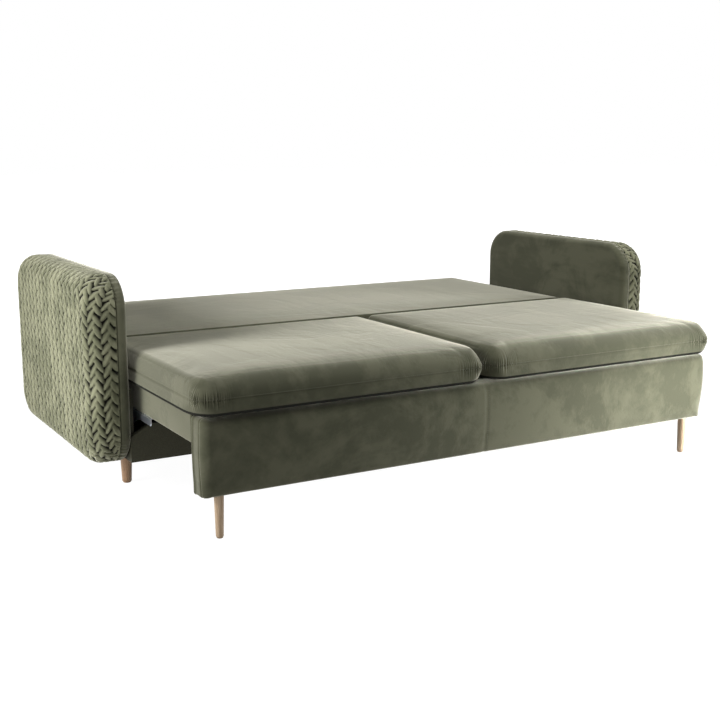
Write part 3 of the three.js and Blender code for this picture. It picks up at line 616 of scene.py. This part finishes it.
def plan(u, v, box, radii):
    """Places parameters u, v on a rectangle with rounded corners, front and rear corners by their own
    radius. Inside the corner squares the square-to-disc map bends the lines into arcs."""
    (x0, y0), (x1, y1) = box
    front, rear = radii
    radius = front + (rear - front) * (np.clip(v / CORNER_SHARE, -1, 1) + 1) / 2
    s = np.clip((np.abs(u) - CORNER_SHARE) / (1 - CORNER_SHARE), 0, 1)
    t = np.clip((np.abs(v) - CORNER_SHARE) / (1 - CORNER_SHARE), 0, 1)
    inner_u = np.clip(u / CORNER_SHARE, -1, 1)
    inner_v = np.clip(v / CORNER_SHARE, -1, 1)
    x = inner_u * ((x1 - x0) / 2 - radius) + np.sign(u) * radius * s * np.sqrt(1 - t * t / 2)
    middle_y = (y0 + front + y1 - rear) / 2
    half_y = (y1 - rear - y0 - front) / 2
    y = middle_y + inner_v * half_y + np.sign(v) * radius * t * np.sqrt(1 - s * s / 2)
    return (x0 + x1) / 2 + x, y


def upholstered(box, radii, insets, share, height, lines, crown=0.0):
    """A closed pad. Its top is a grid inside the outline drawn in by the insets (left, right, front, rear).
    Ring by ring the edge then moves out by each share of those insets, at each height, and the underside
    is a second grid at the last share. The top swells by crown times (1 - s^4) (1 - t^4)."""
    u, v = np.meshgrid(*lines, indexing="ij")
    (x0, y0), (x1, y1) = box
    left, right, front, rear = insets
    inner_box = ((x0 + left, y0 + front), (x1 - right, y1 - rear))
    inner_radii = (max(radii[0] - front, 0.004), max(radii[1] - rear, 0.004))
    inner = np.stack(plan(u, v, inner_box, inner_radii), -1)
    outer = np.stack(plan(u, v, box, radii), -1)
    quads, border = grid_faces(*u.shape)
    s = (inner[..., 0] - (x0 + x1) / 2) / ((x1 - x0) / 2)
    t = (inner[..., 1] - (y0 + y1) / 2) / ((y1 - y0) / 2)
    rise = crown * (1 - s ** 4) * (1 - t ** 4)

    def level(points, z):
        return np.concatenate([points, np.broadcast_to(z, points.shape[:-1])[..., None]], -1).reshape(-1, 3)

    rim_in, rim_out = inner.reshape(-1, 2)[border], outer.reshape(-1, 2)[border]
    rim_rise = rise.ravel()[border]
    rings = []
    for k, (f, z) in enumerate(zip(share[1:-1], height[1:-1])):
        rings.append(level(rim_in + (rim_out - rim_in) * f, z + rim_rise * max(0, 1 - (k + 1) / 6)))
    top = level(inner, height[0] + rise)
    bottom = level(inner + (outer - inner) * share[-1], height[-1])
    points = np.concatenate([top, *rings, bottom])
    count, size = len(border), len(top)
    base = size + len(rings) * count
    levels = [border] + [size + k * count + np.arange(count) for k in range(len(rings))] + [base + border]
    faces = list(quads)
    for upper, lower in zip(levels[:-1], levels[1:]):
        faces += np.stack([upper, np.roll(upper, -1), np.roll(lower, -1), lower], 1).tolist()
    faces += [[base + i for i in reversed(q)] for q in quads]
    return points, faces


def edge_profile(low, high, reach, top_round, bottom_round, wall_steps):
    """Shares and heights for a plain pad: rounded over the top, straight down, rounded under."""
    turn = np.linspace(0, np.pi / 2, 7)
    wall = np.linspace(high - top_round, low + bottom_round, wall_steps + 2)[1:-1]
    share = np.concatenate([np.sin(turn), np.ones(wall_steps), 1 - bottom_round / reach * (1 - np.cos(turn))])
    height = np.concatenate([high - top_round * (1 - np.cos(turn)), wall, low + bottom_round * (1 - np.sin(turn))])
    return np.append(share, share[-1] - 0.2 * share[-1]).tolist(), np.append(height, low).tolist()


def node_box(name):
    """A node's outline in plan, and its lowest and highest levels."""
    low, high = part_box(name)
    return ((low[0], low[1]), (high[0], high[1])), low[2], high[2]


def subdivide(piece, levels=1):
    """Finishes a piece with smooth subdivision, applied so that later shaping sees the real points."""
    smooth = piece.modifiers.new("smooth", "SUBSURF")
    smooth.levels = smooth.render_levels = levels
    result = bpy.data.meshes.new_from_object(piece.evaluated_get(bpy.context.evaluated_depsgraph_get()))
    piece.modifiers.clear()
    old = piece.data
    piece.data = result
    bpy.data.meshes.remove(old)


def read_points(mesh, what="co"):
    points = np.empty(len(mesh.vertices) * 3)
    mesh.vertices.foreach_get(what, points)
    return points.reshape(-1, 3)


def write_points(mesh, points):
    mesh.vertices.foreach_set("co", np.asarray(points, float).ravel())
    mesh.update()


rail_velvet = velvet("rail_velvet", patches=4.5, streaks=24.0)


def add_side_rail(side, word):
    box, low, high = node_box(f"seat_side_rail_{word}")
    share, height = edge_profile(low, high, 0.008, 0.008, 0.006, 8)
    lines = (pad_lines(0.02, (4, 4), 0.005, 0.0025, 0.005), pad_lines(0.66, (4, 4), 0.02, 0.005, 0.02))
    points, faces = upholstered(box, (0.008, 0.008), (0.008,) * 4, share, height, lines)
    rail = add_piece(f"seat_rail_cover_{word}", points, faces, rail_velvet, None)
    subdivide(rail)
    points, normals = read_points(rail.data), read_points(rail.data, "normal")
    ripple = np.sin(points[:, 1] * 19) * np.cos(points[:, 2] * 40)
    write_points(rail.data, points + normals * (0.0007 * ripple - 0.0007)[:, None])
    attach(rail, "seat")
    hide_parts(f"seat_side_rail_{word}")


for side, word in SIDES:
    add_side_rail(side, word)

# ---------------------------------------------------------------------------
# Fascia: a timber box wrapped in foam and velvet that hangs under the front
# of the seat. Its face swells a little and tucks in towards the floor; two
# rows of stitches hold down the seam in its middle.
# ---------------------------------------------------------------------------


def cloth_lining_and_painted_shade(piece, chosen):
    """Plain dark cloth on the faces whose middles satisfy chosen: in part a lining on sides that rest on
    something, in part painted shade, a dark strip where a piece lies in the shade of the piece above."""
    piece.data.materials.append(lining)
    middles = np.empty(3 * len(piece.data.polygons))
    piece.data.polygons.foreach_get("center", middles)
    piece.data.polygons.foreach_set("material_index", chosen(middles.reshape(-1, 3)).astype(np.int32))


def inflate(piece, pressure, cap, hold):
    """Blows the cover up like cloth over foam for 20 frames with no gravity. A point moves by at most cap,
    and by less where hold is near 1, such as on a face that rests on something."""
    rest = read_points(piece.data)
    cloth = piece.modifiers.new("foam", "CLOTH")
    cloth.settings.quality = 4
    cloth.settings.mass = 0.4
    cloth.settings.tension_stiffness = 12
    cloth.settings.compression_stiffness = 12
    cloth.settings.bending_stiffness = 1.5
    cloth.settings.use_pressure = True
    cloth.settings.uniform_pressure_force = pressure
    cloth.settings.effector_weights.gravity = 0
    cloth.point_cache.frame_start, cloth.point_cache.frame_end = 1, 20
    for step in range(1, 21):
        scene.frame_set(step)
    shown = piece.evaluated_get(bpy.context.evaluated_depsgraph_get())
    moved = read_points(shown.data) - rest
    piece.modifiers.clear()
    scene.frame_set(1)
    moved -= moved.mean(0)
    length = np.linalg.norm(moved, axis=1, keepdims=True)
    moved *= np.minimum(1, cap / np.maximum(length, 1e-9)) * (1 - hold[:, None])
    write_points(piece.data, rest + moved)


def new_thread():
    material, tree, shader = new_material("sage_thread", (0.12, 0.12, 0.08), 0.7)
    colour, height = speckled(tree, object_coordinates(tree), (0.12, 0.12, 0.08), 1500, 0.25)
    tree.links.new(colour, shader.inputs["Base Color"])
    bump = node(tree, "ShaderNodeBump", {"Height": height, "Strength": 0.3, "Distance": 0.0002})
    tree.links.new(bump.outputs[0], shader.inputs["Normal"])
    return material


thread = new_thread()
STITCH_PITCH, STITCH_LENGTH, STITCH_WIDTH = 0.0072, 0.0044, 0.0011


def add_stitches(name, cover, starts, directions, along, body):
    """Short stitches laid on a cover where rays from outside meet it. Each stitch is a flattened six-sided
    lozenge: a ring at each end and two fuller ones between."""
    work = bmesh.new()
    work.from_mesh(cover.data)
    tree = BVHTree.FromBMesh(work)
    work.free()
    hits = [tree.ray_cast(Vector(s), Vector(d), 0.12)[0] for s, d in zip(starts, directions)]
    kept = [k for k, hit in enumerate(hits) if hit is not None]
    place = np.array([hits[k] for k in kept]) - directions[kept] * 0.0002
    out, run = -directions[kept], along[kept]
    up = np.cross(out, run)
    angle = np.linspace(0, 2 * np.pi, 6, endpoint=False)
    reach = np.array([-0.5, -0.3, 0.3, 0.5]) * STITCH_LENGTH
    width = np.array([0.3, 1.0, 1.0, 0.3]) * STITCH_WIDTH / 2
    ring = up[:, None] * np.sin(angle)[None, :, None] + 0.8 * out[:, None] * np.cos(angle)[None, :, None]
    points = (place[:, None, None] + run[:, None, None] * reach[None, :, None, None]
              + ring[:, None] * width[None, :, None, None])
    index = np.arange(6)
    after = (index + 1) % 6
    sides = np.concatenate([np.stack([r + index, r + after, r + 6 + after, r + 6 + index], 1) for r in (0, 6, 12)])
    caps = np.array([[0, 1, 2, 3, 4, 5], [18, 19, 20, 21, 22, 23]])
    faces = []
    for k in range(len(kept)):
        faces += (sides + 24 * k).tolist() + (caps + 24 * k).tolist()
    add_piece(name, points, faces, thread, body)


FASCIA_TUCK = 0.009           # how far the face leans back at its lower edge
FASCIA_RISE = 0.009           # how far the cover puffs up towards the cushions
FASCIA_SETBACK = 0.009        # how far its upper edge leans back under them
fascia_velvet = velvet("fascia_velvet", patches=3.4, streaks=22.0, relief=0.0022)


def add_fascia():
    box, low, high = node_box("fascia_pad")
    high += FASCIA_RISE
    share, height = edge_profile(low, high, 0.024, 0.012, 0.008, 14)
    lines = (pad_lines(1.87, (6, 6), 0.03, 0.006, 0.016), pad_lines(0.05, (6, 4), 0.01, 0.005, 0.01))
    points, faces = upholstered(box, (0.026, 0.008), (0.024, 0.024, 0.024, 0.006), share, height, lines)
    (x0, y0), (x1, y1) = box
    drop = np.clip((high - points[:, 2]) / (high - low), 0, 1)
    front = np.clip((y1 - points[:, 1]) / (y1 - y0), 0, 1)
    belly = np.sin(np.pi * np.clip(drop * 1.15, 0, 1)) * 0.003
    points[:, 1] += (FASCIA_TUCK * drop ** 3 - belly) * front
    points[:, 1] += FASCIA_SETBACK * np.exp(-(drop / 0.07) ** 2) * front
    points[:, 0] *= 1 + belly / x1
    piece = add_piece("fascia_cover", points, faces, fascia_velvet, None)
    inflate(piece, 2.5, 0.003, (points[:, 1] > y1 - 0.012).astype(float))
    subdivide(piece)
    points = read_points(piece.data)
    facing = np.clip((y0 + 0.04 - points[:, 1]) / 0.02, 0, 1)
    seam = np.exp(-(points[:, 0] / 0.0022) ** 2)
    ripple = np.sin(points[:, 0] * 5.1 + 1) * np.sin(points[:, 0] * 2.3 + points[:, 2] * 6)
    points[:, 1] += (0.0024 * seam + 0.0012 * ripple) * facing
    end_seam = np.exp(-((points[:, 1] - y0 - 0.026) / 0.0022) ** 2) * (np.abs(points[:, 0]) > x1 - 0.012)
    points[:, 0] -= 0.0028 * end_seam * np.sign(points[:, 0])
    write_points(piece.data, points)
    # Painted shade: dark cloth on the fascia's top, where the cushions above shade it.
    cloth_lining_and_painted_shade(piece, lambda middles: middles[:, 2] > high - 0.002)
    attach(piece, "seat")
    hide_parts("fascia_pad")
    z = np.tile(np.arange(low + 0.012, high - 0.02, STITCH_PITCH), 2)
    x = np.repeat((-0.006, 0.006), len(z) // 2)
    starts = np.stack([x, np.full(len(z), y0 - 0.05), z], 1)
    inwards = np.tile((0.0, 1.0, 0.0), (len(z), 1))
    upwards = np.tile((0.0, 0.0, 1.0), (len(z), 1))
    add_stitches("fascia_stitches", piece, starts, inwards, upwards, "seat")


add_fascia()
finish_nodes(timber, "fascia_core")

# ---------------------------------------------------------------------------
# Seat cushions: foam in a velvet cover. The top panel runs down at the front
# to a topstitched seam; a side strip joins it along each side, and the
# fullness is gathered in round both front corners, above and below the seam.
# ---------------------------------------------------------------------------
CUSHION_CORNERS = (0.046, 0.018)      # front and rear, in plan
CUSHION_INSETS = (0.026, 0.026, 0.048, 0.006)
SEAM_HEIGHT = 0.045                   # of the seam above the cushion's underside
FRONT_DROP, FRONT_REACH = 0.10, 0.050   # how much, and how far back, the top bends down at the front
END_TAPER = 0.075                     # how much the top and underside draw in at the front corners
GATHER_SIDE = 0.100                   # from the front corner to the side strip's end seam
GATHER_PITCH = 0.0078
UNDERSIDE_EDGE = 0.009                # height below which dark cloth replaces the velvet: a lining underneath, painted shade up the rounded edge


def cushion_profile(low, high):
    """From the top to the underside: a quarter ellipse to the seam, a band drawn in a little, a rounding."""
    seam = low + SEAM_HEIGHT
    turn = np.linspace(0, np.pi / 2, 14)
    share = list(np.sin(turn))
    height = list(seam + (high - seam) * np.cos(turn))
    fall = np.linspace(0, np.pi / 2, 11)[1:]
    share += list(1 - 0.30 * (1 - np.cos(fall)) ** 1.2)
    height += list(seam - SEAM_HEIGHT * np.sin(fall) ** 1.15)
    return share + [0.3], height + [low]


cushion_velvet = velvet("cushion_velvet", patches=3.4, streaks=18.0, relief=0.0026)


def shape_cushion(mesh, box, low, high):
    """After the cloth has settled. A groove marks the seam all round, a shallow one the upper edge of each
    side strip, and an upright one the end of it. From there round each front corner the cover is gathered:
    folds one gather pitch apart along the outline, deepest at the seam."""
    points, normals = read_points(mesh), read_points(mesh, "normal")
    (x0, y0), (x1, y1) = box
    radius = CUSHION_CORNERS[0]
    side = np.sign(points[:, 0] - (x0 + x1) / 2)
    dx = side * (points[:, 0] - (x0 + x1) / 2) - ((x1 - x0) / 2 - radius)
    dy = (y0 + radius) - points[:, 1]
    turn = np.arctan2(np.maximum(dy, 0), np.maximum(dx, 0))
    run = radius * (turn - np.pi / 4) + np.maximum(-dx, 0) * (dy > 0) - np.maximum(-dy, 0) * (dx > 0)
    inside = radius - np.hypot(np.maximum(dx, 0), np.maximum(dy, 0))
    rear = points[:, 1] > y1 - 0.02
    rim = np.exp(-(np.maximum(inside, 0) / 0.034) ** 2)
    seam = low + SEAM_HEIGHT
    drop = points[:, 2] - seam
    start = -(GATHER_SIDE - radius) - radius * np.pi / 4
    zone = np.clip((run - start) / 0.006, 0, 1) * np.clip((0.125 - run) / 0.07, 0, 1)
    phase = np.pi * run / GATHER_PITCH + 0.9 * np.sin(run * 90 + side) + 0.5 * np.sin(run * 230 + 2 * side)
    uneven = 0.75 + 0.25 * np.sin(run * 170 + 1.7 * side)
    comb = (1 - np.abs(np.sin(phase)) ** 0.7) * uneven
    spread = np.where(drop > 0, np.exp(-(drop / (0.026 + 0.006 * np.sin(run * 140))) ** 2),
                      np.exp(-(drop / 0.020) ** 2))
    push = -0.0064 * comb * spread * zone * rim
    on_edge = np.clip((0.05 - inside) / 0.02, 0, 1) + rear
    push -= 0.0030 * np.exp(-(drop / 0.0026) ** 2) * np.clip(on_edge, 0, 1)
    on_side = (dx > 0) & (run < start + 0.004) & ~rear
    strip_top = high - 0.016
    push -= 0.0016 * np.exp(-((points[:, 2] - strip_top) / 0.0024) ** 2) * on_side
    push -= 0.0022 * np.exp(-((run - start) / 0.0022) ** 2) * rim * (points[:, 2] < strip_top) * (dx > 0)
    write_points(mesh, points + normals * push[:, None])


def outline(box, radii, pitch):
    """Points at even spacing along a rounded rectangle in plan, with the direction of travel."""
    edge = np.linspace(-1, 1, 400)
    u = np.concatenate([edge, np.ones(400), -edge, -np.ones(400)])
    v = np.concatenate([-np.ones(400), edge, np.ones(400), -edge])
    path = np.stack(plan(u, v, box, radii), 1)
    step = np.linalg.norm(np.diff(path, axis=0), axis=1)
    length = np.concatenate([[0], np.cumsum(step)])
    spots = np.arange(0, length[-1], pitch)
    places = np.stack([np.interp(spots, length, path[:, k]) for k in (0, 1)], 1)
    ahead = np.stack([np.interp(spots + 0.002, length, path[:, k]) for k in (0, 1)], 1)
    travel = ahead - places
    return places, travel / np.maximum(np.linalg.norm(travel, axis=1, keepdims=True), 1e-9)


def add_cushion(word):
    box, low, high = node_box(f"seat_cushion_{word}")
    share, height = cushion_profile(low, high - 0.006)
    corner = 14
    lines = (pad_lines(0.85, (corner, corner), 0.06, 0.5 / corner * 0.11, 0.018),
             pad_lines(0.70, (corner, 5), 0.02, 0.5 / corner * 0.11, 0.018))
    points, faces = upholstered(box, CUSHION_CORNERS, CUSHION_INSETS, share, height, lines, crown=0.008)
    above = np.maximum(points[:, 2] - low - SEAM_HEIGHT, 0)
    near = np.exp(-((points[:, 1] - box[0][1]) / FRONT_REACH) ** 2)
    lift = np.where(above > 0, above / (high - low - SEAM_HEIGHT), (low + SEAM_HEIGHT - points[:, 2]) / SEAM_HEIGHT)
    middle = (box[0][0] + box[1][0]) / 2
    points[:, 0] -= (points[:, 0] - middle) * END_TAPER * lift ** 1.5 * near
    points[:, 2] -= above * FRONT_DROP * near
    piece = add_piece(f"seat_cushion_cover_{word}", points, faces, cushion_velvet, None)
    inflate(piece, 3.5, 0.006, np.clip((low + 0.03 - points[:, 2]) / 0.02, 0, 1))
    subdivide(piece)
    shape_cushion(piece.data, box, low, high)
    # Dark cloth under the cushion, carried up its rounded lower edge as painted shade.
    cloth_lining_and_painted_shade(piece, lambda middles: middles[:, 2] < low + UNDERSIDE_EDGE)
    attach(piece, "seat")
    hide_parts(f"seat_cushion_{word}")
    places, travel = outline(box, CUSHION_CORNERS, STITCH_PITCH)
    level = np.full((len(places), 1), low + SEAM_HEIGHT + 0.0045)
    flat = np.zeros((len(places), 1))
    outwards = np.concatenate([travel[:, 1:], -travel[:, :1], flat], 1)
    starts = np.concatenate([places, level], 1) + outwards * 0.03
    add_stitches(f"seat_cushion_stitches_{word}", piece, starts, -outwards, np.concatenate([travel, flat], 1), "seat")


for side, word in SIDES:
    add_cushion(word)

# ---------------------------------------------------------------------------
# Backrest: one long pad pulled over a softwood frame, closed underneath with
# black non-woven cloth; here it lies flat behind the seat cushions.
# ---------------------------------------------------------------------------
BACK_CORNERS = (0.007, 0.026)         # beside the seat cushions, and at the far side
BACK_INSETS = (0.024, 0.024, 0.006, 0.030)
COVER_RECESS = 0.0085                 # the underside cloth lies in a recess this deep
back_velvet = velvet("back_velvet", patches=2.8, streaks=14.0, relief=0.0018)


def add_back():
    box, low, high = node_box("back_pad")
    share, height = edge_profile(low, high - 0.005, 0.030, 0.030, 0.004, 8)
    lines = (pad_lines(1.80, (6, 6), 0.03, 0.008, 0.022), pad_lines(0.70, (4, 7), 0.02, 0.008, 0.022))
    points, faces = upholstered(box, BACK_CORNERS, BACK_INSETS, share, height, lines, crown=0.005)
    piece = add_piece("back_cushion_cover", points, faces, back_velvet, None)
    inflate(piece, 3.0, 0.004, np.clip((high - 0.06 - points[:, 2]) / 0.02, 0, 1))
    subdivide(piece)
    points = read_points(piece.data)
    (x0, y0), (x1, y1) = box
    to_edge = np.minimum(x1 - np.abs(points[:, 0]), np.minimum(points[:, 1] - y0, y1 - points[:, 1]))
    under = (to_edge > 0.0085) & (points[:, 2] < low + 0.006)
    points[under, 2] = low + COVER_RECESS
    write_points(piece.data, points)
    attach(piece, "back")
    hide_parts("back_pad")


add_back()
finish_nodes(lining, "back_cover")
finish_nodes(timber, "back_lower_rail", "back_upper_rail")
finish_nodes(timber_deep, "back_side_rail_left", "back_side_rail_right")
